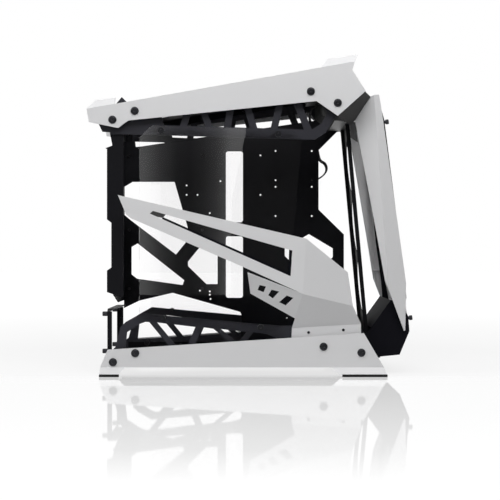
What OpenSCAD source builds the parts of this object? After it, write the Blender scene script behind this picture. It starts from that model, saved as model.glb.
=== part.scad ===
// Full-tower computer case, open-frame style.
// X runs from rear to front, Y from the window side to the cable side, Z up. Millimetres.

/* [Frame] */
// Half width over the rails' outer faces
rail_face = 138; // [130:1:145]
// Thickness of the folded rail plates
rail_t = 3; // [2:0.5:4]
// Half width over the lattice side plates
lattice_face = 125; // [120:1:126]
// Thickness of the lattice side plates
lattice_t = 2.5; // [1.5:0.5:3]
// Thickness of the inner folded sheets
sheet_t = 1.5; // [1:0.5:2]
// Half width over the outer faces of the side panes
pane_face = 136; // [133:1:138]
// Thickness of the side panes and the front pane
pane_t = 4; // [3:0.5:5]
// Slope of the top rails, in degrees
top_slope = 10; // [8:0.5:12]
// Outward lean of the feet, in degrees
foot_flare = 35; // [20:1:45]

/* [Inside] */
// Window-side face of the motherboard tray
tray_y = 75; // [70:1:80]
// Height of the bottom plate's upper face
floor_z = 34; // [30:1:36]
// Rear face of the rear panel's main sheet
rear_x = -268; // [-270:1:-266]
// Depth of the deck below the rails' top edges
deck_drop = 18; // [15:1:22]
// Number of card slots
card_slots = 7; // [4:1:7]
// Distance from one card slot to the next
slot_pitch = 20.32; // [20.2:0.04:20.4]
// Size of the fans that the brackets take
fan_size = 120; // [116:1:121]
// Distance between a fan's screw holes
fan_pitch = 105; // [104:0.5:106]

/* [Fasteners] */
// Radius of the rail bolts' heads
bolt_head_r = 6.5; // [5:0.5:7]
// Radius of the rail bolts' shanks
bolt_r = 3; // [2.5:0.5:3]
// Radius of the thumbscrews' heads
thumb_r = 6; // [4:0.5:7]

/* [Front] */
// Face of the side wing's outermost plane, from the middle plane
wing_face = 165; // [160:1:170]
// Thickness of the wing and blade sheets
skin_t = 2; // [1.5:0.5:3]
// Half width of the front pane
front_half = 95; // [90:1:98]

/* [Hidden] */
$fn = 48;

white = [0.86, 0.86, 0.86];
black = [0.07, 0.07, 0.08];
slate = [0.2, 0.2, 0.24];
clear = [0.9, 0.95, 1, 0.3];
rubber = [0.05, 0.05, 0.05];
steel = [0.6, 0.6, 0.62];
grey = [0.27, 0.27, 0.27];

// Bolt places, as X and Z
top_bolts = [[-265.5, 495.5], [-222.5, 512.5], [117.5, 550], [169.5, 528]];
bottom_bolts = [[-264.5, 27.5], [-221.5, 45], [142, 57.5], [215, 46]];
bolt_hole_r = bolt_r + 0.3;
spacer_gap = rail_face - rail_t - lattice_face;

// Height of the web that joins the front corners
web_z = 495.5;

// Top rail: the start of its top edge, and its outline as X and Z
rail_start = [-315.5, 516.5];
rail_len = 526;
rail_end = rail_start + rail_len * [cos(top_slope), sin(top_slope)];
top_rail_outline = [
    rail_start, rail_end, [197.5, 591.5], [223.5, 551], [169.5, 503], [128.5, 531.5],
    [-235, 494], [-254.5, 479.5], [-311, 491]
];
rail_wing_angle = 50;
rear_wing = [[0, 0], [18, 16.1], [57, 14.1], [54, -5], [3, -5]];
front_wing = [[460, 0], [476, 16.7], [537, 14.8], [526, 0], [523, -5], [463, -5]];

// Bottom rail: outline as X and Z, with the feet below the bend
foot_bend_z = 17.5;
foot_low = 2;
foot_out = 13 * tan(foot_flare);
bottom_rail_outline = [
    [-275, 51.5], [220, 83.5], [258.5, foot_bend_z], [265, foot_low], [173.8, foot_low],
    [158, foot_bend_z], [-242.5, foot_bend_z], [-254.4, foot_low], [-290, foot_low],
    [-289.5, foot_bend_z]
];
strips = [[-290, 37.5], [177.5, 86.5]];
strip_h = 4.8;

// Lattice plates: outlines as X and Z, and struts as [X at the top chord, X at the bottom chord]
strut_w = 14;
top_lattice_outline = [
    [-293.5, 488], [-286.5, 473.5], [-271.5, 472.5], [-271, 468.5], [-231, 468.5], [101, 458.5],
    [126, 458.5], [147, 472], [165.5, 503], [205, 545], [188, 578], [176, 591],
    [-228, 520], [-249, 541], [-272, 513], [-292, 508]
];
top_struts = [[-179.9, -174], [-120.4, -129.2], [-92.1, -79.4], [-37.3, -44], [-6.2, 7.2],
    [59.1, 46.7], [88.8, 112]];
cable_notch = [[-262, 460], [-262, 478], [-185, 476], [-181, 460]];
top_hook_gap = [[96.5, 536.5], [128, 541], [150.5, 511], [139, 490], [120, 478]];
bottom_lattice_outline = [
    [-211.5, 121], [-241, 104.5], [-251.5, 94.5], [-261.5, 55.5], [-272, 45], [-279, 21],
    [240, 21], [246, 30], [222, 80], [214, 97], [60, 97], [-19.5, 103.5]
];
bottom_struts = [[-187.5, -150], [-99, -114], [-64, -33], [0, -14], [40, 62]];
bottom_hook_gap = [[-203, 104.5], [-214, 100.5], [-232, 88.5], [-238.5, 84.5], [-242, 52],
    [-157, 57], [-195.5, 104]];
function top_upper(x) = 517.4 + 0.102 * (x + 82);
function top_lower(x) = 486.5 - 0.0305 * (x + 174);
function bottom_upper(x) = 105 - 0.101 * (x + 202);
function bottom_lower(x) = 49.5 + 0.0646 * (x + 275);

// Side panes: outline and screws as X and Z
pane_outline = [[-214, 462], [-190, 484.5], [82, 476], [99.5, 455], [70.5, 107], [45, 81],
    [-201, 105.5], [-214, 120.5]];
pane_points = [[-171.5, 475], [54.5, 468], [-169, 112.5], [20.5, 94.5]];
post_len = pane_face - pane_t - lattice_face;

// Motherboard tray: outline and cut-outs as X and Z
tray_rear = rear_x + sheet_t;
tray_outline = [
    [tray_rear, 121], [-233.5, 137], [-163.5, 153.5], [-20.5, 113], [-18, 106], [-18, floor_z],
    [198.5, floor_z], [198.5, 277], [145, 329.5], [145, 455], [185.5, web_z], [167.5, web_z],
    [140, 518], [-229.7, 463], [-241.5, 462], [-243, 474], [tray_rear, 474]
];
cpu_cut = [[-270, 375], [-248.5, 388], [-159.5, 388], [-126, 272], [-156.5, 234.5],
    [-251.5, 306.5], [-270, 322]];
left_cut = [[-250.5, 250.5], [-237.5, 258], [-139, 180], [-142.5, 170], [-239, 183.5],
    [-250.5, 192.5]];
middle_cut = [[-68.5, 254], [-68.5, 172], [-92, 172], [-131, 210], [-131, 219.5], [-103, 254]];
front_cut = [[124.5, 277.5], [73.5, 248], [73.5, 231.5], [82, 223], [167, 220.5], [175, 229],
    [175, 247.5]];
tray_slots = [[-51, 302.5, 36, 150], [-51, 143, 36, 130]];
drive_patterns = [[54, 391.6], [54, 315.9]];
drive_spacing = [76.6, 61.72];
tray_holes = [[22, 444], [22, 360.5], [-62.5, 389.5], [-134, 380.5], [-134, 360.5],
    [-111, 360.5], [-85, 322], [-106, 158], [-85, 156.5], [-85, 149.5], [-83.5, 140.5],
    [78, 99.5]];
drive_hole_r = 1.8;
board_columns = [-256, -256 + 154.94];
board_rows = [162, 162 + 124.46, 162 + 281.94];
standoff_h = 6.5;

// Rear panel: how far it reaches towards the window side, its edges and its openings
rear_near = -121;
rear_low = 138;
rear_fold = [[-246, 152], [-266, 158], [-278, 162], [-278, 204], [-269.5, 210],
    [-269.5, 297], [-278, 303.5], [-278, 440], [-281, 442], [-267.5, 447], [-272, 470],
    [-272, 500], [-253, 500], [-253, 476], [-246, 470]];
port_size = [44.45, 158.75];
port_corner = [24.5, 291];
rear_fan = [-43, 378];
first_card_z = 277;
card_len = 105;
card_y = -47;

// Power supply opening in its bracket, as Y and Z
psu_size = [150, 86];
psu_corner = [-95, floor_z + 2];
psu_x = -279;

psu_screws = [[-101.5, 119], [61.5, 119], [-101.5, 46], [61.5, 46]];

// Deck under the top rails, with lengths along the rails' top edge
deck_from = 62;
deck_to = 498;
deck_half = lattice_face - lattice_t;
deck_fans = [125, 249, 373];
deck_screw_u = [100, 300, 440];
function deck_point(u) = rail_start + u * [cos(top_slope), sin(top_slope)]
    - (deck_drop + 8) * [-sin(top_slope), cos(top_slope)];
deck_screws = [for (u = deck_screw_u) deck_point(u)];
plate_screws = [[-150, 41], [0, 41], [100, 41]];
nut_clear_r = 7;

// Port module in the deck: its place, its slot, and what it holds along Y
port_u = 456;
port_y = 58;
port_w = 46;
port_l = 104;
port_depth = 24;
power_v = -38;
power_r = 6.8;
reset_v = -20;
reset_r = 2.8;
button_gap = 0.35;
collar = 1.5;
usb_places = [[-4, 13.2, 5.8, 14], [10, 13.2, 5.8, 14], [22, 9, 3.2, 10]];
jack_places = [34, 44];
jack_r = 3;

// Front: the slanted line of the fan bracket and of the front pane, as X and Z
fan_low = [227, 90];
fan_high = [190, 496];
fan_half = 63;
fan_mid = 203;
fan_step = 124;
pane_low = [315, 100];
pane_high = [261.5, 519.5];
pane_len = norm(pane_high - pane_low);
cradle_half = 97;

// Front pane screws as Y and height along the pane
front_points = [[-80, 400], [80, 400], [-60, 8], [60, 8]];

// Front cradle, uprights and gusset cheeks as X and Z
cradle_cheek = [[277.1, 145.9], [296, 140], [311, 114], [313.4, 84.6], [294, 38.3],
    [250, floor_z], [200, floor_z], [200, 60], [223.9, 78.4], [232.2, 83.3]];
upright_shape = [[240, 497], [246, 382], [248, 320], [248, 290], [245, 265], [257, 183],
    [265, 156], [272, 140], [284, 112], [300, 112], [292, 150], [284, 183], [272, 268],
    [262, 382], [262, 506], [240, 506]];
gusset_cheek = [[140, 558], [140, 507], [165, web_z], [171.6, web_z], [171.6, 505],
    [225.4, 550.9], [212, 566], [190, 566]];
gusset_tab = [[198, web_z], [208, web_z], [213.7, 456.9], [199.4, 466.4]];

// Edge of the gusset's web on the window side, as X and Y
gusset_web = [[165, -121.5], [172, -119.5], [186, -97.5], [198, -78], [209.9, -77.9],
    [232.8, -94.1], [238, -cradle_half], [256, -cradle_half]];

function unit(v) = v / norm(v);
function lean(a, b) = atan2(b.x - a.x, b.y - a.y);

// Side wing corners in space, on the window side
wing_t0 = [107.7, -wing_face, 265.5];
wing_v = [101, -wing_face, 160.1];
wing_w = [197.8, -148.2, 136.4];
wing_u = [188, -150.6, 200.8];
wing_b1 = [81.4, -lattice_face - skin_t, 92.7];
wing_b2 = [215.2, -lattice_face - skin_t, 100.5];
wing_l = [88.2, -137.4, 111.2];
wing_k = [-4.6, -wing_face, 200.5];
wing_a = [0.8, -145.4, 160.3];
wing_corners = [
    [-252, -wing_face, 348.8], wing_t0, wing_v,
    [-12.6, -wing_face, 211.6], [-226.8, -wing_face, 304.4], [-236.2, -wing_face, 311.7],
    wing_u, wing_w, wing_b2, [215.2, -lattice_face - skin_t, 78],
    [80.3, -lattice_face - skin_t, 72], wing_b1, wing_l, wing_a, wing_k
];
wing_whole = [0, 1, 2, 3, 4, 5];
wing_faces = [[2, 1, 6, 7], [2, 7, 8, 11, 12], [14, 2, 12, 13], [11, 8, 9, 10]];
wing_gap = [[-191.2, 313.6], [-185.1, 318.5], [81, 242.9], [77.4, 193.9]];
arm_slots = [
    [[18.4, -157.4, 177.1], [30.6, -158.4, 174.2], [25.7, -151.2, 162.1], [14.2, -151.2, 166.5]],
    [[41.1, -157.3, 168.1], [56.4, -158.5, 164.5], [43.6, -148.6, 150.1], [34.5, -150, 156.3]],
    [[70.4, -157.4, 157], [83.2, -157.4, 152.2], [68.2, -146.5, 136.5], [55.1, -147.3, 143.1]]
];
wing_points = [[113.6, 84], [181, 89]];

// Blade and gusset corners in space, on the window side; ribs as Z, reach to the rear and front
ridge_top = [242.7, -106, 547.4];
ridge_low = [270.7, -114, 166];
blade_corners = [
    ridge_top, ridge_low, [263.8, -109.7, 183.4], [249.4, -102.2, 268.7], [229.5, -91.7, 381.9],
    [207.7, -80, 500.4], [236.3, -101.5, 545.1],
    [253, -101.8, 548.9], [257, -101.3, 527.4], [306.7, -99, 179.2], [304.2, -104.6, 87.3],
    [302.1, -105.5, 85.4]
];
blade_faces = [[0, 1, 2, 3, 4, 5, 6], [1, 0, 7, 8, 9, 10, 11]];
blade_ribs = [[480, 6, 10], [330, 7, 7], [200, 5, 13]];
gusset_face = [[171.6, -121, 505], [225.4, -121, 550.9], [236.1, -103.4, 544.7],
    [207.7, -80, 500.4], [198.1, -79.3, 491.6], [186, -98.8, 497.7]];

// Front panel wires: middle line in space, and how far each strand sits from it
wire_r = 1.3;
wire_sides = 8;
wire_steps = 3;
wire_route = [
    [132, 84, 543], [127.5, 84, 533], [127, 83, 520], [131, 82, 505], [138, 81, 480],
    [143, 80.5, 455], [148, 80.5, 435], [158, 80, 427], [162, 80, 418], [160, 80, 408],
    [150, 80, 398], [140, 80, 393], [130.5, 80, 391.5], [112, 80, 384], [98, 80, 370],
    [92, 80, 350], [92, 80, 320], [92, 80, 300]
];
strands = [[1.4, 0, 1.2], [-1.4, 2.8, -1.2], [0.6, 5.6, 0]];
clip_places = [[139.5, 470], [92, 342], [92, 318]];

// Flat plate drawn as X and Z, filling y to y + t
module upright(y, t) translate([0, y + t, 0]) rotate([90, 0, 0]) linear_extrude(t) children();

// Flat plate drawn as Y and Z, filling x to x + t
module crosswise(x, t) translate([x, 0, 0]) rotate([90, 0, 90]) linear_extrude(t) children();

// Round holes along Y at places given as X and Z
module holes_y(places, r, y0, y1)
    for (p = places) translate([p.x, y0, p.y]) rotate([-90, 0, 0]) cylinder(r = r, h = y1 - y0);

// Prism from low to high over the flat polygon through corners in space
module prism(corners, cut, low, high) {
    o = corners[0];
    u = unit(corners[1] - o);
    n = unit(cross(u, corners[2] - o));
    v = cross(n, u);
    multmatrix([[u.x, v.x, n.x, o.x], [u.y, v.y, n.y, o.y], [u.z, v.z, n.z, o.z], [0, 0, 0, 1]])
        translate([0, 0, low]) linear_extrude(high - low)
            polygon([for (p = cut) [(p - o) * u, (p - o) * v]]);
}

// Flat sheet through corners in space; its thickness goes to the side that cross() gives
module sheet(corners, t) prism(corners, corners, 0, t);

// Folded sheet from corners in space and its flat faces, each listed so that cross() of its
// first edges points into the sheet; the faces in whole are exactly flat, the rest become fans
module folded(corners, faces, t, whole = []) {
    n = len(corners);
    all_faces = concat(whole, faces);
    normals = [for (f = all_faces) unit([for (i = f) 1] * [for (i = [0:len(f) - 1])
        cross(corners[f[i]], corners[f[(i + 1) % len(f)]])])];
    inner = [for (v = [0:n - 1])
        let (m = [for (k = [0:len(all_faces) - 1]) if (len(search(v, all_faces[k])) > 0) normals[k]])
        corners[v] + t * (
            len(m) == 1 ? m[0] : len(m) == 2 ? (m[0] + m[1]) / (1 + m[0] * m[1]) :
            (cross(m[1], m[2]) + cross(m[2], m[0]) + cross(m[0], m[1])) / (m[0] * cross(m[1], m[2]))
        )];
    edges = [for (f = all_faces, i = [0:len(f) - 1]) [f[i], f[(i + 1) % len(f)]]];
    rim = [for (e = edges)
        if (len([for (g = edges) if (g[0] == e[1] && g[1] == e[0]) 1]) == 0) e];
    fans = [for (f = faces, i = [1:len(f) - 2]) [f[0], f[i], f[i + 1]]];
    polyhedron(points = concat(corners, inner), faces = concat(
        whole, fans,
        [for (f = concat(whole, fans)) [for (i = [len(f) - 1:-1:0]) f[i] + n]],
        [for (e = rim) [e[1], e[0], e[0] + n]], [for (e = rim) [e[1], e[0] + n, e[1] + n]]
    ));
}

// Fan openings with their screw holes, drawn flat round the given centres
module fan_openings(centres)
    for (c = centres) translate(c) {
        circle(r = fan_size / 2 - 4);
        for (i = [-1, 1], j = [-1, 1]) translate(fan_pitch / 2 * [i, j]) circle(r = 2.2);
    }

// Rounded rectangle by its lower corner and size
module slot_shape(x, y, w, h, r) {
    translate([x + r, y]) square([w - 2 * r, h]);
    translate([x, y + r]) square([w, h - 2 * r]);
    for (i = [r, w - r], j = [r, h - r]) translate([x + i, y + j]) circle(r);
}

// Frame that lies on the slanted top edge of a rail: X along the edge, Z square to it
module on_top_edge() translate([rail_start.x, 0, rail_start.y]) rotate([0, -top_slope, 0]) children();

// Rail plate: its cross-section drawn as Y and Z, with the flange folded off the top edge
module top_rail() color(white) {
    fold = rail_t * tan(rail_wing_angle / 2);
    side = 0.2;
    tip = side + 20;
    reach = (tip - side) * tan(rail_wing_angle);
    difference() {
        intersection() {
            on_top_edge() crosswise(-20, 580) polygon([
                [-rail_face, -160], [-rail_face, side], [reach - rail_face, tip],
                [reach - rail_face + rail_t, tip - rail_t], [rail_t - rail_face, side - fold],
                [rail_t - rail_face, -160]
            ]);
            upright(-rail_face - 10, 60) {
                polygon(top_rail_outline);
                translate(rail_start) rotate(top_slope) polygon(rear_wing);
                translate(rail_start) rotate(top_slope) polygon(front_wing);
            }
        }
        holes_y(top_bolts, bolt_hole_r, -rail_face - 1, -rail_face + rail_t + 1);
    }
}

// Rail plate with its feet leaning outward below the bend
module bottom_rail() color(white) {
    fold = rail_t * tan(foot_flare / 2);
    drop = foot_bend_z - foot_low + 1;
    out = drop * tan(foot_flare);
    difference() {
        intersection() {
            crosswise(-300, 600) polygon([
                [-rail_face, 95], [-rail_face, foot_bend_z],
                [-rail_face - out, foot_bend_z - drop],
                [rail_t - rail_face - out + fold * tan(foot_flare), foot_bend_z - drop],
                [rail_t - rail_face, foot_bend_z - fold], [rail_t - rail_face, 95]
            ]);
            upright(-rail_face - 40, 60) polygon(bottom_rail_outline);
        }
        holes_y(bottom_bolts, bolt_hole_r, -rail_face - 1, -rail_face + rail_t + 1);
    }
}

// Rubber strips pushed over the feet's lower edges
module foot_strips() color(rubber)
    both_sides() difference() {
        for (strip = strips) translate([strip.x, -rail_face - foot_out - 3, 0])
            cube([strip.y, 9, strip_h]);
        bottom_rail();
    }

module both_sides() {
    children();
    mirror([0, 1, 0]) children();
}

// Button-head bolt with a hexagon socket, head outward on the window side
module rail_bolt() {
    head_h = 3.6;
    difference() {
        union() {
            translate([0, -rail_face, 0]) rotate([-90, 0, 0]) cylinder(r = bolt_r, h = 21);
            translate([0, -rail_face, 0]) rotate([90, 0, 0])
                cylinder(r1 = bolt_head_r, r2 = bolt_head_r - 2, h = head_h);
        }
        translate([0, -rail_face - head_h - 1, 0]) rotate([-90, 0, 0])
            cylinder(r = 2.3, h = 3.4, $fn = 6);
    }
}

module at_points(places) for (p = places) translate([p.x, 0, p.y]) children();

module rail_bolts() color(black)
    both_sides() at_points(concat(top_bolts, bottom_bolts)) rail_bolt();

module rail_spacers() color(black)
    both_sides() at_points(concat(top_bolts, bottom_bolts))
        translate([0, -lattice_face, 0]) rotate([90, 0, 0]) difference() {
            cylinder(r = 6, h = spacer_gap);
            translate([0, 0, -1]) cylinder(r = bolt_hole_r, h = spacer_gap + 2);
        }

module rail_nuts() color(black)
    both_sides() at_points(concat(top_bolts, bottom_bolts))
        translate([0, -lattice_face + lattice_t, 0]) rotate([-90, 0, 0]) difference() {
            cylinder(r = 5.6, h = 4.4, $fn = 6);
            translate([0, 0, -1]) cylinder(r = bolt_r, h = 7);
        }

// Gap between two neighbouring struts, from the chord lines that the functions give
module top_gap(a, b) polygon([
    [a.x + strut_w / 2, top_upper(a.x)], [b.x - strut_w / 2, top_upper(b.x)],
    [b.y - strut_w / 2, top_lower(b.y)], [a.y + strut_w / 2, top_lower(a.y)]
]);

module top_lattice(notch = []) color(slate)
    difference() {
        upright(-lattice_face, lattice_t) difference() {
            polygon(top_lattice_outline);
            if (len(notch) > 0) polygon(notch);
            for (i = [0:len(top_struts) - 2]) top_gap(top_struts[i], top_struts[i + 1]);
            polygon(top_hook_gap);
        }
        holes_y(top_bolts, bolt_hole_r, -lattice_face - 1, -lattice_face + lattice_t + 1);
        holes_y([pane_points[0], pane_points[1]], 2.1, -lattice_face - 1, -lattice_face + lattice_t + 1);
        holes_y(deck_screws, 1.6, -lattice_face - 1, -lattice_face + lattice_t + 1);
    }

module bottom_gap(a, b) polygon([
    [a.x + strut_w / 2, bottom_upper(a.x)], [b.x - strut_w / 2, bottom_upper(b.x)],
    [b.y - strut_w / 2, bottom_lower(b.y)], [a.y + strut_w / 2, bottom_lower(a.y)]
]);

module bottom_lattice() color(slate)
    difference() {
        upright(-lattice_face, lattice_t) difference() {
            polygon(bottom_lattice_outline);
            for (i = [0:len(bottom_struts) - 2]) bottom_gap(bottom_struts[i], bottom_struts[i + 1]);
            polygon(bottom_hook_gap);
        }
        holes_y(bottom_bolts, bolt_hole_r, -lattice_face - 1, -lattice_face + lattice_t + 1);
        holes_y([pane_points[2], pane_points[3]], 2.1, -lattice_face - 1, -lattice_face + lattice_t + 1);
        holes_y(concat(wing_points, plate_screws), 1.6, -lattice_face - 1, -lattice_face + lattice_t + 1);
    }

module side_pane() color(clear)
    difference() {
        upright(-pane_face, pane_t) polygon(pane_outline);
        holes_y(pane_points, 2.6, -pane_face - 1, -pane_face + pane_t + 1);
    }

// Threaded posts that hold the panes off the lattice plates
module pane_posts() color(black)
    both_sides() at_points(pane_points) translate([0, -lattice_face, 0]) rotate([90, 0, 0])
        difference() {
            cylinder(r = 4.5, h = post_len);
            translate([0, 0, -1]) cylinder(r = 2, h = post_len + 2);
        }

// Round-headed thumbscrew with a hexagon socket; its head sits on z = 0 and its shank goes down
module thumbscrew(head_r, head_h, shank_r, shank_h) {
    difference() {
        union() {
            cylinder(r = head_r, h = head_h);
            translate([0, 0, -shank_h]) cylinder(r = shank_r, h = shank_h + 1);
        }
        translate([0, 0, head_h - 2]) cylinder(r = head_r * 0.35, h = 3, $fn = 6);
    }
}

module pane_screws() color(black)
    both_sides() at_points(pane_points) translate([0, -pane_face, 0]) rotate([90, 0, 0])
        thumbscrew(thumb_r, 4.5, 1.9, pane_t + post_len + lattice_t);

// Folded white sheet: outermost plane with its arrow opening, front facet, skirt and slotted arm
module side_wing() color(white)
    difference() {
        folded(wing_corners, wing_faces, skin_t, [wing_whole]);
        upright(-wing_face - 5, 12) polygon(wing_gap);
        for (slot = arm_slots) prism([wing_k, wing_v, wing_l], slot, -3, skin_t + 3);
        holes_y(wing_points, 1.7, -lattice_face - skin_t - 1, -lattice_face + 1);
    }

module wing_screws() color(black)
    at_points(wing_points) translate([0, -lattice_face - skin_t, 0]) rotate([90, 0, 0]) {
        cylinder(r1 = 2.8, r2 = 2, h = 1.4);
        translate([0, 0, -7]) cylinder(r = 1.5, h = 7.5);
    }

// Cut and folded sheet that carries the board, with its fold onto the bottom plate
module motherboard_tray() color(black)
    difference() {
        union() {
            upright(tray_y, sheet_t) difference() {
                polygon(tray_outline);
                for (c = [cpu_cut, left_cut, middle_cut, front_cut]) polygon(c);
                for (c = tray_slots) slot_shape(c[0], c[1], c[2], c[3], 5);
            }
            translate([-18, tray_y, floor_z]) cube([216.5, 16, sheet_t]);
            for (z = [[394, 76], [264, 34], [124, 60]])
                translate([tray_rear, tray_y, z[0]]) cube([sheet_t, 15, z[1]]);
        }
        for (p = drive_patterns, i = [0, 1], j = [0, 1])
            holes_y([p + [i * drive_spacing.x, j * drive_spacing.y]], drive_hole_r, 60, 90);
        holes_y(tray_holes, drive_hole_r, 60, 90);
    }

module board_standoffs() color(black)
    for (x = board_columns, z = board_rows)
        translate([x, tray_y, z]) rotate([90, 0, 0]) difference() {
            cylinder(r = 3.2, h = standoff_h, $fn = 6);
            translate([0, 0, 1]) cylinder(r = 1.4, h = standoff_h);
        }

function card_z(i) = first_card_z - i * slot_pitch;

// Rear panel: board ports, fan opening and card slots, with a stepped fold on the window side
module rear_panel() color(black)
    difference() {
        union() {
            crosswise(rear_x, sheet_t) difference() {
                polygon([[rear_near, 160], [-26, rear_low], [90, rear_low], [90, 468], [121, 474],
                    [121, 500], [rear_near, 500]]);
                translate(port_corner) square(port_size);
                fan_openings([rear_fan]);
                for (i = [0:card_slots - 1]) {
                    translate([card_y, card_z(i) - 6.5]) square([card_len, 13]);
                    translate([card_y - 7, card_z(i)]) circle(r = 1.6);
                }
            }
            upright(rear_near - sheet_t, sheet_t) polygon(rear_fold);
            translate([rear_x, 121, 474]) cube([15, sheet_t, 26]);
        }
        both_sides() holes_y(top_bolts, nut_clear_r, -125, -115);
    }

// Blanking plates over the card slots
module slot_covers() color(black)
    for (i = [0:card_slots - 1]) difference() {
        translate([rear_x - 1.2, card_y - 12, card_z(i) - 9.2]) cube([1.2, card_len + 20, 18.4]);
        translate([rear_x - 2, card_y - 7, card_z(i)]) rotate([0, 90, 0]) cylinder(r = 1.9, h = 4);
        for (k = [0:4]) translate([rear_x - 2, card_y + 12 + 17 * k, card_z(i) - 3])
            cube([4, 12, 6]);
    }

module slot_screws() color(black)
    for (i = [0:card_slots - 1])
        translate([rear_x - 1.2, card_y - 7, card_z(i)]) rotate([0, -90, 0])
            thumbscrew(3.6, 4, 1.5, 5);

// Folded frame round the power supply's rear face
module power_supply_bracket() color(black)
    difference() {
        union() {
            crosswise(psu_x, sheet_t) polygon([[-108, floor_z], [68, floor_z], [68, 124],
                [63, 129], [-103, 129], [-108, 124]]);
            translate([psu_x, -108, floor_z]) cube([9, sheet_t, 90]);
            translate([psu_x, 68 - sheet_t, floor_z]) cube([12, sheet_t, 90]);
            translate([psu_x, -103, 129 - sheet_t]) cube([17, 166, sheet_t]);
        }
        translate([psu_x - 1, psu_corner.x, psu_corner.y]) cube([4, psu_size.x, psu_size.y]);
        for (p = psu_screws) translate([psu_x - 1, p.x, p.y]) rotate([0, 90, 0])
            cylinder(r = 1.9, h = 4);
    }

module power_supply_screws() color(black)
    for (p = psu_screws) translate([psu_x, p.x, p.y]) rotate([0, -90, 0])
        thumbscrew(4.3, 10, 1.7, 6);

// Frame that lies on the deck's upper face
module on_deck() on_top_edge() translate([0, 0, -deck_drop]) children();

// Deck under the top rails: fan openings, port opening and folds onto the lattice plates
module top_deck() color(black)
    difference() {
        on_deck() {
            translate([0, 0, -sheet_t]) linear_extrude(sheet_t) difference() {
                translate([deck_from, -deck_half]) square([deck_to - deck_from, 2 * deck_half]);
                fan_openings([for (u = deck_fans) [u, 0]]);
                translate([port_u - port_w / 2, port_y - port_l / 2]) square([port_w, port_l]);
            }
            for (y = [-deck_half, deck_half - sheet_t])
                translate([deck_from, y, -15]) cube([deck_to - deck_from, sheet_t, 15]);
        }
        both_sides() holes_y(top_bolts, nut_clear_r, -125, -115);
        both_sides() holes_y(deck_screws, 1.7, -125, -115);
    }

// Bottom plate with its folds up the lattice plates and the power supply's air opening
module bottom_plate() color(black)
    difference() {
        union() {
            translate([-281, -deck_half, floor_z - sheet_t]) cube([521, 2 * deck_half, sheet_t]);
            translate([240, -cradle_half, floor_z - sheet_t]) cube([16, 2 * cradle_half, sheet_t]);
            for (y = [-deck_half, deck_half - sheet_t])
                translate([-262, y, floor_z - sheet_t]) cube([500, sheet_t, 14]);
        }
        translate([-200, -20, floor_z - 3]) cylinder(r = 62, h = 6);
        both_sides() holes_y(bottom_bolts, nut_clear_r, -125, -115);
        both_sides() holes_y(plate_screws, 1.7, -125, -115);
    }

// Small screws that hold the deck and the bottom plate to the lattice plates
module frame_screws() color(black)
    both_sides() at_points(concat(deck_screws, plate_screws))
        translate([0, -lattice_face, 0]) rotate([90, 0, 0]) {
            cylinder(r1 = 3, r2 = 2.2, h = 1.6);
            translate([0, 0, -6]) cylinder(r = 1.5, h = 6.5);
        }

// Frame on the slanted line from low to high: X out of its front, Z up along it
module leaning(low, high)
    translate([low.x, 0, low.y]) rotate([0, lean(low, high), 0]) children();

// Slanted frame that holds the front fans, cut off at the web above and the floor below
module front_fan_bracket() color(black)
    difference() {
        leaning(fan_low, fan_high) {
            crosswise(8 - sheet_t, sheet_t) difference() {
                translate([-fan_half, -70]) square([2 * fan_half, 490]);
                fan_openings([for (k = [-1:1]) [0, fan_mid + k * fan_step]]);
            }
            for (y = [-fan_half, fan_half - sheet_t])
                translate([0, y, -70]) cube([8, sheet_t, 490]);
        }
        translate([150, -80, web_z]) cube([120, 160, 60]);
        translate([150, -80, floor_z - 40]) cube([120, 160, 40]);
    }

module front_pane() color(clear)
    leaning(pane_low, pane_high) difference() {
        crosswise(-pane_t, pane_t) polygon([
            [-70, 0], [70, 0], [front_half, 65], [front_half, pane_len - 20],
            [front_half - 20, pane_len], [20 - front_half, pane_len],
            [-front_half, pane_len - 20], [-front_half, 65]
        ]);
        at_front_points() translate([0, 0, -pane_t - 1]) cylinder(r = 2.6, h = pane_t + 2);
    }

module at_front_points()
    for (p = front_points) translate([0, p.x, p.y]) rotate([0, 90, 0]) children();

module front_pane_screws() color(black)
    leaning(pane_low, pane_high) at_front_points() {
        cylinder(r = 3.4, h = 4);
        translate([0, 0, 4]) thumbscrew(4.6, 6, 1.9, pane_t + 6);
    }

// Bars behind the front pane, between the uprights above and between the cheeks below
module front_crossbars() color(black)
    leaning(pane_low, pane_high) difference() {
        union() {
            translate([-pane_t - 2, -cradle_half, 392]) cube([2, 2 * cradle_half, 18]);
            translate([-pane_t - 2, skin_t - cradle_half, 0])
                cube([2, 2 * (cradle_half - skin_t), 16]);
        }
        at_front_points() translate([0, 0, -pane_t - 3]) cylinder(r = 2.1, h = 4);
    }

// Black folded sheet under the blades: two cheeks joined by a floor, a front and a sloping rear
module front_cradle() color(black) {
    both_sides() upright(-cradle_half, skin_t) polygon(cradle_cheek);
    cradle_web([242, floor_z], [294, 38.3]);
    cradle_web([294, 38.3], [313.4, 84.6]);
    cradle_web([277.1, 145.9], [238, 91.4]);
}

// Sheet across the cradle with its outer face from a to b, given as X and Z
module cradle_web(a, b) {
    half = cradle_half - skin_t / 2;
    inner = skin_t * unit([a.y - b.y, b.x - a.x]);
    upright(-half, 2 * half) polygon([a, b, b + inner, a + inner]);
}

// Black folded sheet that closes the corner between top rails and blades
module front_top_gusset() color(grey) {
    both_sides() {
        sheet(gusset_face, skin_t);
        difference() {
            upright(-deck_half, skin_t) polygon(gusset_cheek);
            holes_y(top_bolts, nut_clear_r, -125, -115);
        }
        upright(-80, skin_t) polygon(gusset_tab);
        translate([238, -cradle_half, 480]) cube([14, skin_t, web_z - 479]);
    }
    translate([0, 0, web_z]) linear_extrude(skin_t) polygon(concat(gusset_web,
        [for (i = [len(gusset_web) - 1:-1:0]) [gusset_web[i].x, -gusset_web[i].y]]));
}

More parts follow.
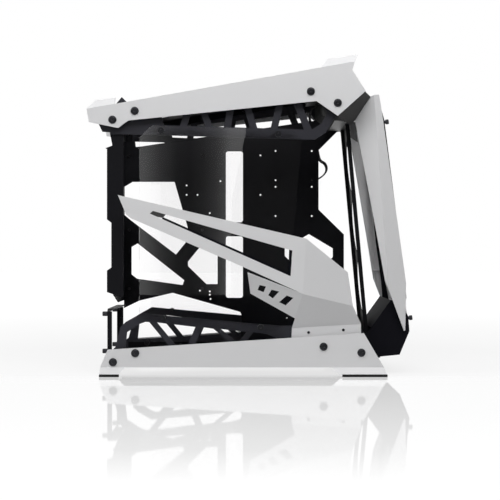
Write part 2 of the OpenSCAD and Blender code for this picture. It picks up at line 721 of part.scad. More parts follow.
// Upright behind each blade, from the top web to the cradle
module front_upright() color(black)
    upright(-cradle_half - skin_t, skin_t) polygon(upright_shape);

function along(a, b, z) = a + (b - a) * (z - a.z) / (b.z - a.z);

// Folded white sheet beside the front pane: two facets that meet in a ridge, with ribs inside
module blade() color(white) {
    folded(blade_corners, blade_faces, skin_t);
    for (rib = blade_ribs) {
        r = along(ridge_top, ridge_low, rib[0]) + [0, 1.2, 0];
        seat = -cradle_half - skin_t;
        translate([0, 0, rib[0]]) linear_extrude(skin_t) polygon([
            [r.x, r.y], [r.x - rib[1], r.y + 0.7 * rib[1]], [r.x - rib[1], seat],
            [r.x + rib[2], seat], [r.x + rib[2], r.y + 0.4 * rib[2]]
        ]);
    }
}

// Frame in the middle of the port module, on the deck's upper face
module on_ports() on_deck() translate([port_u, port_y, 0]) children();

// Openings down from z = 0: button wells and sockets, wider by extra than what they hold
module port_wells(extra, depth) {
    translate([0, power_v, -depth]) cylinder(r = power_r + extra, h = depth + 1);
    translate([0, reset_v, -depth]) cylinder(r = reset_r + extra, h = depth + 1);
}

module port_sockets(extra, depth) {
    for (p = usb_places) translate([0, p[0], (1 - min(depth, p[3])) / 2])
        cube([p[1] + 2 * extra, p[2] + 2 * extra, min(depth, p[3]) + 1], center = true);
    for (v = jack_places) translate([0, v, -min(depth, 14)])
        cylinder(r = jack_r + extra, h = min(depth, 14) + 1);
}

module port_cover() color(black)
    on_ports() difference() {
        translate([-port_w / 2 - 4, -port_l / 2 - 4, 0]) cube([port_w + 8, port_l + 8, 2]);
        translate([0, 0, 2]) {
            port_wells(button_gap, 4);
            port_sockets(0.2, 4);
        }
    }

module port_body() color(black)
    on_ports() difference() {
        translate([0.5 - port_w / 2, 0.5 - port_l / 2, -port_depth])
            cube([port_w - 1, port_l - 1, port_depth]);
        port_wells(collar + 0.5, 12);
        port_sockets(0, 20);
    }

// Round push button: cap, collar under the cover, and stem
module button(v, r) color(black)
    on_ports() translate([0, v, 0]) {
        translate([0, 0, -2]) cylinder(r = r, h = 5.6);
        translate([0, 0, -2]) cylinder(r = r + collar, h = 1.6);
        translate([0, 0, -8]) cylinder(r = r / 2, h = 7);
    }

module power_button() button(power_v, power_r);
module reset_button() button(reset_v, reset_r);

// Metal shells of the three data sockets and the two sound sockets
module front_sockets() color(steel)
    on_ports() {
        for (p = usb_places) translate([0, p[0], 0]) {
            difference() {
                translate([-p[1] / 2, -p[2] / 2, -p[3]]) cube([p[1], p[2], p[3] + 1.6]);
                translate([0.4 - p[1] / 2, 0.4 - p[2] / 2, 1 - p[3]])
                    cube([p[1] - 0.8, p[2] - 0.8, p[3] + 2]);
            }
            translate([1.2 - p[1] / 2, -0.2 * p[2], 0.5 - p[3]])
                cube([p[1] - 2.4, 0.3 * p[2], p[3] - 1.5]);
        }
        for (v = jack_places) translate([0, v, -14]) difference() {
            cylinder(r = jack_r, h = 15.6);
            translate([0, 0, 1]) cylinder(r = 1.8, h = 16);
        }
    }

// Smooth curve through p, with wire_steps points to each span
function spline(p, i, t) =
    let (a = p[max(i - 1, 0)], b = p[i], c = p[i + 1], d = p[min(i + 2, len(p) - 1)])
    0.5 * (2 * b + (c - a) * t + (2 * a - 5 * b + 4 * c - d) * t * t
        + (3 * b - a - 3 * c + d) * t * t * t);
function smooth(p) = [
    for (i = [0:len(p) - 2], k = [0:wire_steps - 1]) spline(p, i, k / wire_steps), p[len(p) - 1]
];
function ring(p, i) =
    let (f = unit(p[min(i + 1, len(p) - 1)] - p[max(i - 1, 0)]),
        u = unit(cross(f, [0, 1, 0])), v = cross(f, u))
    [for (k = [0:wire_sides - 1])
        p[i] + wire_r * (cos(360 * k / wire_sides) * u + sin(360 * k / wire_sides) * v)];

// Round wire along the points p
module wire(p) {
    n = len(p);
    m = wire_sides;
    polyhedron(
        points = [for (i = [0:n - 1]) each ring(p, i)],
        faces = concat(
            [[for (k = [0:m - 1]) k], [for (k = [m - 1:-1:0]) (n - 1) * m + k]],
            [for (i = [0:n - 2], k = [0:m - 1])
                [i * m + k, (i + 1) * m + k, i * m + (k + 1) % m]],
            [for (i = [0:n - 2], k = [0:m - 1])
                [(i + 1) * m + k, (i + 1) * m + (k + 1) % m, i * m + (k + 1) % m]]
        )
    );
}

// Start of a strand on the port body's underside, and a point just below it
function port_exit(s, below) =
    let (q = rail_start + (port_u + s.x) * [cos(top_slope), sin(top_slope)]
        - (deck_drop + port_depth + below) * [-sin(top_slope), cos(top_slope)])
    [q.x, 84 + s.y, q.y];

module front_panel_cable() color(rubber)
    for (s = strands) wire(smooth(concat(
        [port_exit(s, 0), port_exit(s, 3)],
        [for (i = [0:len(wire_route) - 2]) wire_route[i] + s],
        [wire_route[len(wire_route) - 1] + [s.x, s.y, 0]]
    )));

module header_plug() color(black)
    translate([84.5, tray_y + sheet_t, 276]) cube([15, 12, 24]);

module cable_clips() color(black)
    for (c = clip_places) translate([c.x, tray_y + sheet_t, c.y]) difference() {
        translate([-8, 0, 0]) cube([16, 13.5, 7]);
        translate([-5, 1.5, -1]) cube([10, 10.4, 9]);
    }

// Sets the part's middle over the origin
centre_x = -4.5;
centre_y = 7.45;
module placed() translate([centre_x, centre_y, 0]) children();
module other_side() mirror([0, 1, 0]) children();

placed() top_rail();  // top_rail_left
placed() other_side() top_rail();  // top_rail_right
placed() bottom_rail();  // bottom_rail_left
placed() other_side() bottom_rail();  // bottom_rail_right
placed() foot_strips();
placed() rail_bolts();
placed() rail_spacers();
placed() rail_nuts();
placed() top_lattice();  // top_lattice_left
placed() other_side() top_lattice(cable_notch);  // top_lattice_right
placed() bottom_lattice();  // bottom_lattice_left
placed() other_side() bottom_lattice();  // bottom_lattice_right
placed() top_deck();
placed() bottom_plate();
placed() frame_screws();
placed() motherboard_tray();
placed() board_standoffs();
placed() rear_panel();
placed() slot_covers();
placed() slot_screws();
placed() power_supply_bracket();
placed() power_supply_screws();
placed() side_pane();  // side_pane_left
placed() other_side() side_pane();  // side_pane_right
placed() pane_posts();
placed() pane_screws();
placed() side_wing();
placed() wing_screws();
placed() front_fan_bracket();
placed() front_pane();
placed() front_pane_screws();
placed() front_crossbars();
placed() blade();  // blade_left
placed() other_side() blade();  // blade_right
placed() front_upright();  // front_upright_left
placed() other_side() front_upright();  // front_upright_right
placed() front_top_gusset();
placed() front_cradle();
placed() port_cover();
placed() port_body();
placed() power_button();
placed() reset_button();
placed() front_sockets();
placed() front_panel_cable();
placed() header_plug();
placed() cable_clips();
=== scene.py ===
"""Looks of the full-tower computer case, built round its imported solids.

Lengths are metres of the shared frame, apart from the numbers taken from part.scad. Those are
its own millimetres, and at() turns them into points of the frame.
"""
import math

import bmesh
import bpy
from mathutils import Matrix, Vector


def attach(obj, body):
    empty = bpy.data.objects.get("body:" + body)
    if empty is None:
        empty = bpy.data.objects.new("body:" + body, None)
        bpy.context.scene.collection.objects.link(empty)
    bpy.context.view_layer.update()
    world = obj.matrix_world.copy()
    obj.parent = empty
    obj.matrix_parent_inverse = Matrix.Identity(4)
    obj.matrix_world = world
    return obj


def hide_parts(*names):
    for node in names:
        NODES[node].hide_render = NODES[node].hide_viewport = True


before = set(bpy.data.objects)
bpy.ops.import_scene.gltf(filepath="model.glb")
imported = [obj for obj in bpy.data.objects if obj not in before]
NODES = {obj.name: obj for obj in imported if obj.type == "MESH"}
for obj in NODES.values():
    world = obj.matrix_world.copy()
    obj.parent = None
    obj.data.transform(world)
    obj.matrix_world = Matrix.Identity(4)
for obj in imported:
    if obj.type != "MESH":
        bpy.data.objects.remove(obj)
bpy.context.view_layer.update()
CASE = "case"

# The part's middle in part.scad's own numbers
CENTRE_X, CENTRE_Y = -4.5, 7.45


def at(x, y, z):
    """A point of part.scad, in millimetres, as a point of the frame in metres."""
    return Vector(((x + CENTRE_X) / 1000, (y + CENTRE_Y) / 1000, z / 1000))


# Camera: the photograph's, square on to the window side
CAMERA_AWAY, CAMERA_UP = 2357, 244
camera_data = bpy.data.cameras.new("camera")
camera_data.sensor_width = 36
camera_data.lens = 82.8
camera_data.clip_start = 0.05
camera_data.clip_end = 50
camera = bpy.data.objects.new("camera", camera_data)
bpy.context.collection.objects.link(camera)
camera.location = at(0, -CAMERA_AWAY, CAMERA_UP)
camera.rotation_euler = (math.pi / 2, 0, 0)
bpy.context.scene.camera = camera


# Nodes that the materials, the floor and the world share
def feed(tree, socket, value):
    """Sets a socket to a number, or links it to another node's output."""
    if isinstance(value, (int, float)):
        socket.default_value = value
    else:
        tree.links.new(value, socket)


def math_node(tree, operation, a, b, clamp=False):
    node = tree.nodes.new("ShaderNodeMath")
    node.operation = operation
    node.use_clamp = clamp
    feed(tree, node.inputs[0], a)
    feed(tree, node.inputs[1], b)
    return node.outputs[0]


def range_node(tree, value, low, high, to_low, to_high):
    node = tree.nodes.new("ShaderNodeMapRange")
    for name, number in (("From Min", low), ("From Max", high), ("To Min", to_low),
                         ("To Max", to_high)):
        node.inputs[name].default_value = number
    tree.links.new(value, node.inputs["Value"])
    return node.outputs["Result"]


def mix_shaders(tree, factor, a, b):
    node = tree.nodes.new("ShaderNodeMixShader")
    for socket, value in zip(node.inputs, (factor, a, b)):
        tree.links.new(value, socket)
    return node.outputs[0]


def noise_node(tree, vector, scale, detail):
    node = tree.nodes.new("ShaderNodeTexNoise")
    node.inputs["Scale"].default_value = scale
    node.inputs["Detail"].default_value = detail
    tree.links.new(vector, node.inputs["Vector"])
    return node.outputs["Fac"]


def split_coords(tree, kind):
    """The X, Y and Z outputs of one kind of texture coordinate."""
    coords = tree.nodes.new("ShaderNodeTexCoord")
    split = tree.nodes.new("ShaderNodeSeparateXYZ")
    tree.links.new(coords.outputs[kind], split.inputs[0])
    return split.outputs


def bare_tree(owner):
    """The owner's node tree, switched on and emptied."""
    owner.use_nodes = True
    owner.node_tree.nodes.clear()
    return owner.node_tree


# Materials
BUMP_DEPTH = 0.0002


def new_material(name, base, rough, metal=0.0, spec=0.5, bump=0.0, grain=1500.0, tone=0.0,
                 rough_var=0.0, tone_scale=14.0):
    """Principled material whose tone, roughness and bump vary with object-space noise."""
    mat = bpy.data.materials.new(name)
    mat.use_nodes = True
    tree = mat.node_tree
    shader = tree.nodes["Principled BSDF"]
    shader.inputs["Metallic"].default_value = metal
    shader.inputs["Specular IOR Level"].default_value = spec
    shader.inputs["Roughness"].default_value = rough
    shader.inputs["Base Color"].default_value = (*base, 1)
    vector = tree.nodes.new("ShaderNodeTexCoord").outputs["Object"]
    if tone:
        mix = tree.nodes.new("ShaderNodeMix")
        mix.data_type = "RGBA"
        mix.inputs["A"].default_value = (*[c * (1 - tone) for c in base], 1)
        mix.inputs["B"].default_value = (*[min(1, c * (1 + tone)) for c in base], 1)
        tree.links.new(noise_node(tree, vector, tone_scale, 3), mix.inputs["Factor"])
        tree.links.new(mix.outputs["Result"], shader.inputs["Base Color"])
    if not (rough_var or bump):
        return mat
    fine = noise_node(tree, vector, grain, 2)
    if rough_var:
        spread = range_node(tree, fine, 0, 1, rough - rough_var, rough + rough_var)
        tree.links.new(spread, shader.inputs["Roughness"])
    if bump:
        relief = tree.nodes.new("ShaderNodeBump")
        relief.inputs["Strength"].default_value = bump
        relief.inputs["Distance"].default_value = BUMP_DEPTH
        tree.links.new(fine, relief.inputs["Height"])
        tree.links.new(relief.outputs["Normal"], shader.inputs["Normal"])
    return mat


def new_glass(name, tint):
    mat = new_material(name, tint, 0.0, tone=0.004, tone_scale=3)
    shader = mat.node_tree.nodes["Principled BSDF"]
    shader.inputs["Transmission Weight"].default_value = 1.0
    shader.inputs["IOR"].default_value = 1.46
    return mat


FINISH = {
    "white": new_material("white_coat", (0.80, 0.80, 0.81), 0.42, bump=0.10, grain=1400,
                          tone=0.012, rough_var=0.06),
    "black": new_material("black_coat", (0.006, 0.006, 0.008), 0.5, spec=0.12, bump=0.12,
                          tone=0.15, rough_var=0.08),
    "matt": new_material("matt_black", (0.008, 0.008, 0.011), 0.62, spec=0.03, bump=0.12,
                         tone=0.15, rough_var=0.06),
    "slate": new_material("slate_coat", (0.030, 0.030, 0.038), 0.48, spec=0.22, bump=0.12,
                          tone=0.10, rough_var=0.06),
    # Dark tone: the black coat made lighter as painted light on the upward-facing front top
    # gusset, and used as painted shade on the white wing's patch behind its opening
    "grey": new_material("grey_coat", (0.055, 0.055, 0.055), 0.45, spec=0.3, bump=0.12,
                         tone=0.06, rough_var=0.06),
    "rubber": new_material("rubber", (0.016, 0.016, 0.017), 0.8, spec=0.25, bump=0.35,
                           grain=900, tone=0.15),
    "bolt": new_material("bolt_black", (0.03, 0.03, 0.034), 0.34, metal=0.85, bump=0.05,
                         grain=1800, tone=0.15, rough_var=0.06),
    "socket": new_material("socket_metal", (0.62, 0.62, 0.64), 0.28, metal=1.0, bump=0.04,
                           grain=700, tone=0.05, rough_var=0.05),
    "plastic": new_material("black_plastic", (0.012, 0.012, 0.013), 0.42, spec=0.35, bump=0.10,
                            grain=1100, tone=0.12, rough_var=0.06),
    "jacket": new_material("wire_jacket", (0.012, 0.012, 0.013), 0.5, spec=0.35, bump=0.06,
                           grain=900, tone=0.12, rough_var=0.06),
    "glass": new_glass("clear_pane", (1.0, 0.996, 1.0)),
}

# How each finish's nodes start, for those that aren't plain black
FINISH_STARTS = {
    "white": ("top_rail", "bottom_rail", "blade", "side_wing"),
    "slate": ("top_lattice", "bottom_lattice"),
    "glass": ("side_pane", "front_pane"),
    "rubber": ("foot_strips",),
    "socket": ("front_sockets",),
    "matt": ("front_cradle", "front_upright"),
    "grey": ("front_top_gusset",),
    "jacket": ("front_panel_cable",),
    "plastic": ("port_", "power_button", "reset_button", "header_plug", "cable_clips"),
    "bolt": ("board_standoffs", "rail_bolts", "rail_nuts", "rail_spacers", "pane_posts"),
}


def finish_of(node):
    if "screw" in node:
        return "bolt"
    for finish, starts in FINISH_STARTS.items():
        if node.startswith(starts):
            return finish
    return "black"


EDGE_WIDTHS = {"glass": 0.0005, "bolt": 0.0003, "plastic": 0.0003}
EDGE_WIDTH = 0.00035
PLATE_EDGE_WIDTH = 0.0002
SHARP_ANGLE = math.radians(35)


def soften_edges(obj, width):
    bevel = obj.modifiers.new("edges", "BEVEL")
    bevel.width = width
    bevel.segments = 2
    bevel.limit_method = "ANGLE"
    bevel.angle_limit = SHARP_ANGLE


for name, obj in NODES.items():
    finish = finish_of(name)
    obj.data.materials.clear()
    obj.data.materials.append(FINISH[finish])
    if name != "front_panel_cable":
        soften_edges(obj, EDGE_WIDTHS.get(finish, EDGE_WIDTH))


# Pieces that only this scene has
def place(obj, mat):
    obj.data.materials.append(mat)
    bpy.context.collection.objects.link(obj)
    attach(obj, CASE)
    return obj


def add_piece(name, bm, mat):
    """Makes a piece of the case from a bmesh, and frees the bmesh."""
    bmesh.ops.recalc_face_normals(bm, faces=bm.faces)
    mesh = bpy.data.meshes.new(name)
    bm.to_mesh(mesh)
    bm.free()
    return place(bpy.data.objects.new(name, mesh), mat)


def bridge(bm, loops):
    """Joins each closed loop of vertices to the next one by four-sided faces."""
    for lower, upper in zip(loops, loops[1:]):
        n = len(lower)
        for k in range(n):
            bm.faces.new((lower[k], lower[(k + 1) % n], upper[(k + 1) % n], upper[k]))


def cap_ends(bm, loops):
    bm.faces.new(list(reversed(loops[0])))
    bm.faces.new(loops[-1])


def step_angles(count):
    return [2 * math.pi * k / count for k in range(count)]


def round_loop(bm, radii, z):
    """Loop of vertices round Z, at equal steps, with the radii and z in millimetres."""
    return [bm.verts.new((r * math.cos(a) / 1000, r * math.sin(a) / 1000, z / 1000))
            for r, a in zip(radii, step_angles(len(radii)))]


def stand_on(bm, origin, axis):
    """Moves what is drawn round Z to the origin given, and turns it to the axis."""
    turn = Vector(axis).to_track_quat("Z", "Y").to_matrix().to_4x4()
    bm.transform(Matrix.Translation(origin) @ turn)


# Wires of the front panel: three strands side by side, from the port module's body down behind
# the tray's front edge to the parked plug
RAIL_START = (-315.5, 516.5)
TOP_SLOPE = math.radians(10)
WIRE_R = 1.3
# Where the wires leave the module: along the rail's top edge, below it, and across
PORT_U, DECK_DROP, PORT_DEPTH, PORT_Y = 456, 18, 24, 84
EXIT_STRAIGHT = 3
WIRE_ROUTE = [
    (132, 84, 543), (127.5, 84, 533), (127, 83, 520), (131, 82, 505), (138, 81, 480),
    (143, 80.5, 455), (148, 80.5, 435), (158, 80, 427), (162, 80, 418), (160, 80, 408),
    (150, 80, 398), (140, 80, 393), (130.5, 80, 391.5), (112, 80, 384), (98, 80, 370),
    (92, 80, 350), (92, 80, 320),
]
PLUG_TOP = (92, 80, 300)
STRANDS = [(1.4, 0, 1.2), (-1.4, 2.8, -1.2), (0.6, 5.6, 0)]


def port_exit(strand, below):
    """Point of a strand, so far below the port module's lower face."""
    u, w = PORT_U + strand[0], DECK_DROP + PORT_DEPTH + below
    return (RAIL_START[0] + u * math.cos(TOP_SLOPE) + w * math.sin(TOP_SLOPE),
            PORT_Y + strand[1],
            RAIL_START[1] + u * math.sin(TOP_SLOPE) - w * math.cos(TOP_SLOPE))


def spline(p, i, t):
    """Catmull-Rom point between p[i] and p[i + 1]."""
    a, b, c, d = p[max(i - 1, 0)], p[i], p[i + 1], p[min(i + 2, len(p) - 1)]
    return [0.5 * (2 * b[k] + (c[k] - a[k]) * t + (2 * a[k] - 5 * b[k] + 4 * c[k] - d[k]) * t * t
                   + (3 * b[k] - a[k] - 3 * c[k] + d[k]) * t ** 3) for k in range(3)]


def smooth(p, steps=6):
    return [spline(p, i, k / steps) for i in range(len(p) - 1) for k in range(steps)] + [p[-1]]


for index, strand in enumerate(STRANDS):
    route = [port_exit(strand, 0), port_exit(strand, EXIT_STRAIGHT)]
    route += [tuple(p[k] + strand[k] for k in range(3)) for p in WIRE_ROUTE]
    route.append((PLUG_TOP[0] + strand[0], PLUG_TOP[1] + strand[1], PLUG_TOP[2]))
    points = [at(*p) for p in smooth(route)]
    curve = bpy.data.curves.new(f"front_wire_{index + 1}", "CURVE")
    curve.dimensions = "3D"
    curve.bevel_depth = WIRE_R / 1000
    curve.bevel_resolution = 3
    curve.use_fill_caps = True
    line = curve.splines.new("POLY")
    line.points.add(len(points) - 1)
    for point, co in zip(line.points, points):
        point.co = (*co, 1)
    obj = bpy.data.objects.new(curve.name, curve)
    place(obj, FINISH["jacket"])
    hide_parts("front_panel_cable")


# Ridged rings round the thumbscrews' heads
KNURL_INSET, KNURL_CHAMFER, KNURL_DEPTH = 0.25, 0.35, 0.32
TOOTH = (0.0, 0.5, 1.0, 0.5)


def knurl(name, form, origin, axis):
    """Ring of the form (head radius, start and end along the axis, teeth), in millimetres."""
    radius, low, high, teeth = form
    bm = bmesh.new()
    levels = [(low, -KNURL_INSET), (low, 0.0), (low + KNURL_CHAMFER, KNURL_DEPTH),
              (high - KNURL_CHAMFER, KNURL_DEPTH), (high, 0.0), (high, -KNURL_INSET)]
    loops = []
    for z, grow in levels:
        radii = [radius + (grow * part if grow > 0 else grow) for part in TOOTH * teeth]
        loops.append(round_loop(bm, radii, z))
    bridge(bm, loops + loops[:1])
    stand_on(bm, origin, axis)
    return add_piece(name, bm, FINISH["bolt"])


SIDES = (("left", -1), ("right", 1))
PANE_KNURL, PANE_FACE = (6, 0.5, 3.9, 22), 136
PANE_POINTS = [(-171.5, 475), (54.5, 468), (-169, 112.5), (20.5, 94.5)]
for side, sign in SIDES:
    for i, (x, z) in enumerate(PANE_POINTS):
        knurl(f"pane_knurl_{side}_{i + 1}", PANE_KNURL, at(x, sign * PANE_FACE, z), (0, sign, 0))

SUPPLY_KNURL, SUPPLY_X = (4.3, 0.8, 9.2, 18), -279
SUPPLY_POINTS = [(-101.5, 119), (61.5, 119), (-101.5, 46), (61.5, 46)]
for i, (y, z) in enumerate(SUPPLY_POINTS):
    knurl(f"supply_knurl_{i + 1}", SUPPLY_KNURL, at(SUPPLY_X, y, z), (-1, 0, 0))

SLOT_KNURL, TOP_SLOT = (3.6, 0.5, 3.5, 16), (-269.2, -54, 277)
CARD_SLOTS, SLOT_PITCH = 7, 20.32
for i in range(CARD_SLOTS):
    slot_x, slot_y, slot_z = TOP_SLOT
    knurl(f"slot_knurl_{i + 1}", SLOT_KNURL, at(slot_x, slot_y, slot_z - SLOT_PITCH * i),
          (-1, 0, 0))

# Front pane: the line of its face, as X and Z
PANE_LOW, PANE_HIGH = (315, 100), (261.5, 519.5)
PANE_RISE = (PANE_HIGH[0] - PANE_LOW[0], PANE_HIGH[1] - PANE_LOW[1])
PANE_LEAN = math.atan2(*PANE_RISE)
PANE_LEN = math.hypot(*PANE_RISE)


def on_pane(y, h, out):
    """Point at Y, the height up the front pane and the distance out of its line."""
    return at(PANE_LOW[0] + h * math.sin(PANE_LEAN) + out * math.cos(PANE_LEAN), y,
              PANE_LOW[1] + h * math.cos(PANE_LEAN) - out * math.sin(PANE_LEAN))


FRONT_KNURL, FRONT_SEAT = (4.6, 0.8, 5.2, 18), 4
FRONT_POINTS = [(-80, 400), (80, 400), (-60, 8), (60, 8)]
PANE_OUT = (math.cos(PANE_LEAN), 0, -math.sin(PANE_LEAN))
for i, (y, h) in enumerate(FRONT_POINTS):
    knurl(f"front_knurl_{i + 1}", FRONT_KNURL, on_pane(y, h, FRONT_SEAT), PANE_OUT)

# Domed heads of the rail bolts, turned from a profile of radius and height round a hexagon socket
BOLT_PROFILE = [(7.9, 0.0), (7.9, 0.9), (7.3, 2.1), (6.0, 3.0), (4.6, 3.4), (3.6, 3.4),
                (3.3, 3.1), (3.3, 2.3)]
BOLT_STEPS = 48
# Profile points below this radius follow the hexagon
SOCKET_BELOW_R, SOCKET_ROOM = 3.7, 0.2
RAIL_FACE = 138
RAIL_BOLTS = [(-265.5, 495.5), (-222.5, 512.5), (117.5, 550), (169.5, 528),
              (-264.5, 27.5), (-221.5, 45), (142, 57.5), (215, 46)]


def hexagon_at(r, a):
    """Radius of the socket's hexagon at an angle."""
    half = math.pi / 6
    from_flat = (a + half) % (2 * half) - half
    return r * math.cos(half) / math.cos(from_flat) + SOCKET_ROOM


def bolt_ring(name, origin, axis):
    bm = bmesh.new()
    loops = []
    for r, z in BOLT_PROFILE:
        radii = [hexagon_at(r, a) if r < SOCKET_BELOW_R else r for a in step_angles(BOLT_STEPS)]
        loops.append(round_loop(bm, radii, z))
    bridge(bm, loops)
    cap_ends(bm, loops)
    for face in bm.faces:
        face.smooth = True
    stand_on(bm, origin, axis)
    return add_piece(name, bm, FINISH["bolt"])


for side, sign in SIDES:
    for i, (x, z) in enumerate(RAIL_BOLTS):
        bolt_ring(f"bolt_ring_{side}_{i + 1}", at(x, sign * RAIL_FACE, z), (0, sign, 0))


# Thin plates and strips
def plate(name, outline, y0, y1, mat):
    """Flat plate drawn as X and Z, from y0 to y1, in part.scad's millimetres."""
    bm = bmesh.new()
    loops = [[bm.verts.new(at(x, y, z)) for x, z in outline] for y in (y0, y1)]
    cap_ends(bm, loops)
    bridge(bm, loops)
    obj = add_piece(name, bm, mat)
    soften_edges(obj, PLATE_EDGE_WIDTH)
    return obj


# Uprights behind the blades, cut back along their rear edge as the photo shows them
UPRIGHT = [(240, 497), (250, 410), (262, 318.7), (268.2, 263), (279.3, 182), (281.6, 157),
           (284, 112), (300, 112), (294, 150), (287, 183), (276, 268), (268.5, 330), (264, 382),
           (262, 420), (262, 506), (240, 506)]
UPRIGHT_T = 2
UPRIGHT_FACES = (("left", -99), ("right", 97))
for side, y0 in UPRIGHT_FACES:
    upright = plate(f"upright_{side}", UPRIGHT, y0, y0 + UPRIGHT_T, FINISH["matt"])
    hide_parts(f"front_upright_{side}")

# Dark strips along the front pane's side edges, on its inner and its outer face: their path as
# the half width and the height up the pane, and their depths out of the pane's line
EDGE_PATH = [(94.6, 65), (94.6, PANE_LEN - 20), (74.6, PANE_LEN)]
EDGE_T = 0.9
EDGE_DEPTHS = (("in", -4.3, -3.2), ("out", -1.2, 0.2))


def pane_edge(name, sign, low, high):
    bm = bmesh.new()
    corners = ((0, low), (EDGE_T, low), (EDGE_T, high), (0, high))
    loops = [[bm.verts.new(on_pane(sign * (y + across), h, out)) for across, out in corners]
             for y, h in EDGE_PATH]
    bridge(bm, loops)
    cap_ends(bm, loops)
    add_piece(name, bm, FINISH["plastic"])


for side, sign in SIDES:
    for face_name, low, high in EDGE_DEPTHS:
        pane_edge(f"front_pane_edge_{side}_{face_name}", sign, low, high)

# Painted shade behind the wing's arrow opening: a dark patch at its left end and dark strips
# along its lower and right edges
WING_BACK, SHADE_PATCH_T, SHADE_STRIP_T = -163, 1.4, 1.2
plate("wing_shade_patch", [(-197, 311), (-184, 321), (-158, 315), (-166.5, 305)],
      WING_BACK, WING_BACK + SHADE_PATCH_T, FINISH["grey"])
plate("wing_shade_strip_low", [(-170, 300), (-166.2, 306.8), (74.2, 200.2), (77.2, 193)],
      WING_BACK, WING_BACK + SHADE_STRIP_T, FINISH["matt"])
plate("wing_shade_strip_end", [(76.5, 193), (73, 199), (74.6, 244.5), (81, 244.5)],
      WING_BACK, WING_BACK + SHADE_STRIP_T, FINISH["matt"])


# Floor: pale, white to the eye, with a faint shadow and a mirror image that fades to the front
FLOOR_Y, FLOOR_DROP, FLOOR_SIDE = 3, 0.0004, 14
FLOOR_TONE, FLOOR_ROUGH = 0.2, 0.03
# Distances from the object between which the glow grows to white
GLOW_NEAR, GLOW_FAR, GLOW_LEAST = 0.7, 3.0, 0.80
# Places along Y between which mirrors and glass see the floor grow from dark to white
DARK_UNTIL, WHITE_FROM = -1.15, -0.35
# Places along Y where the mirror image starts, bends and is full, and what each stretch adds
MIRROR_STARTS, MIRROR_KNEE, MIRROR_FULL = -1.15, -0.95, -0.15
MIRROR_FIRST, MIRROR_MORE = 0.19, 0.20
# Where the floor under the object starts, and the share of the mirror image left there
UNDER_STARTS, UNDER_SHARE = -0.10, 0.15


def floor_material():
    mat = bpy.data.materials.new("floor")
    tree = bare_tree(mat)
    nodes, links = tree.nodes, tree.links
    local_y = split_coords(tree, "Object")["Y"]

    def by_y(low, high, to_low, to_high):
        """Value that runs with Y, measured from the middle of the object."""
        return range_node(tree, local_y, low - FLOOR_Y, high - FLOOR_Y, to_low, to_high)

    path = nodes.new("ShaderNodeLightPath").outputs
    through = math_node(tree, "ADD", path["Is Transmission Ray"], path["Is Glossy Ray"], True)
    far = by_y(DARK_UNTIL, WHITE_FROM, 0.0, 1.0)
    seen = math_node(tree, "ADD", path["Is Camera Ray"],
                     math_node(tree, "MULTIPLY", through, far), True)

    distance = nodes.new("ShaderNodeVectorMath")
    distance.operation = "DISTANCE"
    distance.inputs[1].default_value = (0, -FLOOR_Y, 0)
    links.new(nodes.new("ShaderNodeTexCoord").outputs["Object"], distance.inputs[0])
    reach = range_node(tree, distance.outputs["Value"], GLOW_NEAR, GLOW_FAR, GLOW_LEAST, 1.0)
    glow = nodes.new("ShaderNodeEmission")
    links.new(math_node(tree, "MULTIPLY", seen, reach), glow.inputs["Strength"])

    hidden = math_node(tree, "MULTIPLY", through, math_node(tree, "SUBTRACT", 1.0, far))
    tone = math_node(tree, "MULTIPLY", FLOOR_TONE, math_node(tree, "SUBTRACT", 1.0, hidden))
    matt_part = nodes.new("ShaderNodeBsdfDiffuse")
    links.new(tone, matt_part.inputs["Color"])
    both = nodes.new("ShaderNodeAddShader")
    links.new(matt_part.outputs[0], both.inputs[0])
    links.new(glow.outputs[0], both.inputs[1])

    mirror = nodes.new("ShaderNodeBsdfGlossy")
    mirror.inputs["Roughness"].default_value = FLOOR_ROUGH
    mirror.inputs["Color"].default_value = (1, 1, 1, 1)
    rise = math_node(tree, "ADD", by_y(MIRROR_STARTS, MIRROR_KNEE, 0.0, MIRROR_FIRST),
                     by_y(MIRROR_KNEE, MIRROR_FULL, 0.0, MIRROR_MORE))
    under = by_y(MIRROR_FULL, UNDER_STARTS, 1.0, UNDER_SHARE)
    share = math_node(tree, "MULTIPLY", rise, under)
    out = nodes.new("ShaderNodeOutputMaterial")
    links.new(mix_shaders(tree, share, both.outputs[0], mirror.outputs[0]),
              out.inputs["Surface"])
    return mat


def flat_object(name, corners, location, mat):
    mesh = bpy.data.meshes.new(name)
    mesh.from_pydata(corners, [], [tuple(range(len(corners)))])
    mesh.materials.append(mat)
    obj = bpy.data.objects.new(name, mesh)
    obj.location = location
    bpy.context.collection.objects.link(obj)
    return obj


half_side = FLOOR_SIDE / 2
flat_object("floor", [(-half_side, -half_side, 0), (half_side, -half_side, 0),
                      (half_side, half_side, 0), (-half_side, half_side, 0)],
            (0, FLOOR_Y, -FLOOR_DROP), floor_material())

# World: white where the camera looks at it, straight or through glass. As a light it is softer
# and brighter from above, and reflections find it dark behind the camera
# Pairs of a direction's component and the strength there
SOFT_LOW, SOFT_HIGH = (-0.1, 0.16), (1.0, 0.34)
GLOSS_FRONT, GLOSS_BACK = (-0.9, 0.05), (-0.2, 1.0)
world = bpy.data.worlds.new("world")
bpy.context.scene.world = world
sky = bare_tree(world)


def background(strength):
    node = sky.nodes.new("ShaderNodeBackground")
    node.inputs["Color"].default_value = (1, 1, 1, 1)
    feed(sky, node.inputs["Strength"], strength)
    return node.outputs[0]


def by_direction(component, first, last):
    """Background whose strength runs with a component of the direction looked in."""
    return background(range_node(sky, component, first[0], last[0], first[1], last[1]))


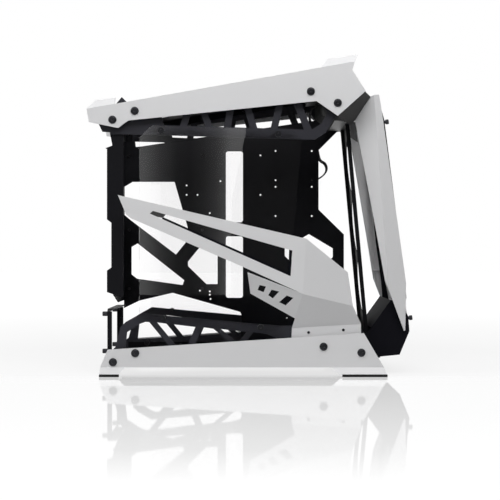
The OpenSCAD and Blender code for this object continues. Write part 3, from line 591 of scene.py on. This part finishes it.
direction = split_coords(sky, "Generated")
sky_path = sky.nodes.new("ShaderNodeLightPath").outputs
bounced = math_node(sky, "ADD", sky_path["Glossy Depth"], sky_path["Diffuse Depth"], True)
straight = math_node(sky, "MULTIPLY", sky_path["Is Transmission Ray"],
                     math_node(sky, "SUBTRACT", 1.0, bounced))
seen = math_node(sky, "ADD", sky_path["Is Camera Ray"], straight, True)
mirrored = math_node(sky, "ADD", sky_path["Is Glossy Ray"],
                     math_node(sky, "MINIMUM", sky_path["Glossy Depth"], 1.0), True)
as_light = mix_shaders(sky, mirrored, by_direction(direction["Z"], SOFT_LOW, SOFT_HIGH),
                       by_direction(direction["Y"], GLOSS_FRONT, GLOSS_BACK))
sky_out = sky.nodes.new("ShaderNodeOutputWorld")
sky.links.new(mix_shaders(sky, seen, as_light, background(1.0)), sky_out.inputs["Surface"])

# Studio card behind the camera that only reflections see: bright at its ends, dim between
CARD_Y, CARD_STRENGTH = -2.64, 2.1
CARD_LEFT, CARD_RIGHT = -0.6, 0.0
CARD_OUTLINE = [(-1.6, 0, 0.06), (-0.08, 0, 0.06), (-0.075, 0, 0.45), (-0.033, 0, 0.652),
                (-0.012, 0, 0.76), (0.0, 0, 1.2), (-1.6, 0, 1.2)]
CARD_TONES = [(0.0, 0.45), (0.25, 0.88), (0.38, 0.30), (0.50, 0.07), (0.59, 0.05), (0.68, 0.12),
              (0.76, 0.28), (0.80, 0.45), (0.87, 0.95), (1.0, 1.0)]


def card_material():
    mat = bpy.data.materials.new("card")
    tree = bare_tree(mat)
    ramp = tree.nodes.new("ShaderNodeValToRGB")
    stops = ramp.color_ramp.elements
    while len(stops) < len(CARD_TONES):
        stops.new(1.0)
    for stop, (position, tone) in zip(stops, CARD_TONES):
        stop.position = position
        stop.color = (tone, tone, tone, 1)
    across = range_node(tree, split_coords(tree, "Object")["X"], CARD_LEFT, CARD_RIGHT, 0.0, 1.0)
    tree.links.new(across, ramp.inputs["Fac"])
    glow = tree.nodes.new("ShaderNodeEmission")
    glow.inputs["Strength"].default_value = CARD_STRENGTH
    tree.links.new(ramp.outputs["Color"], glow.inputs["Color"])
    out = tree.nodes.new("ShaderNodeOutputMaterial")
    tree.links.new(glow.outputs[0], out.inputs["Surface"])
    return mat


card = flat_object("card", CARD_OUTLINE, (CENTRE_X / 1000, CARD_Y, 0), card_material())
card.visible_camera = False
card.visible_diffuse = False
card.visible_transmission = False
card.visible_volume_scatter = False
card.visible_shadow = False

# Lamps: name, power, size, place and the point that each is turned to
LAMPS = [
    ("top_light", 5, (2.4, 2.0), (0, 0.4, 2.3), (0, 0, 0.2)),
    ("key_light", 23, (1.8, 0.9), (0.2, -1.35, 1.75), (0, 0, 0.45)),
    ("left_light", 16, (1.0, 1.2), (-2.4, -1.1, 1.6), (0.2, 0, 0.45)),
]
for name, power, size, location, target in LAMPS:
    data = bpy.data.lights.new(name, "AREA")
    data.shape = "RECTANGLE"
    data.size, data.size_y = size
    data.energy = power
    obj = bpy.data.objects.new(name, data)
    obj.location = location
    obj.rotation_euler = (Vector(target) - Vector(location)).to_track_quat("-Z", "Y").to_euler()
    bpy.context.collection.objects.link(obj)

bpy.context.scene.view_settings.view_transform = "Standard"
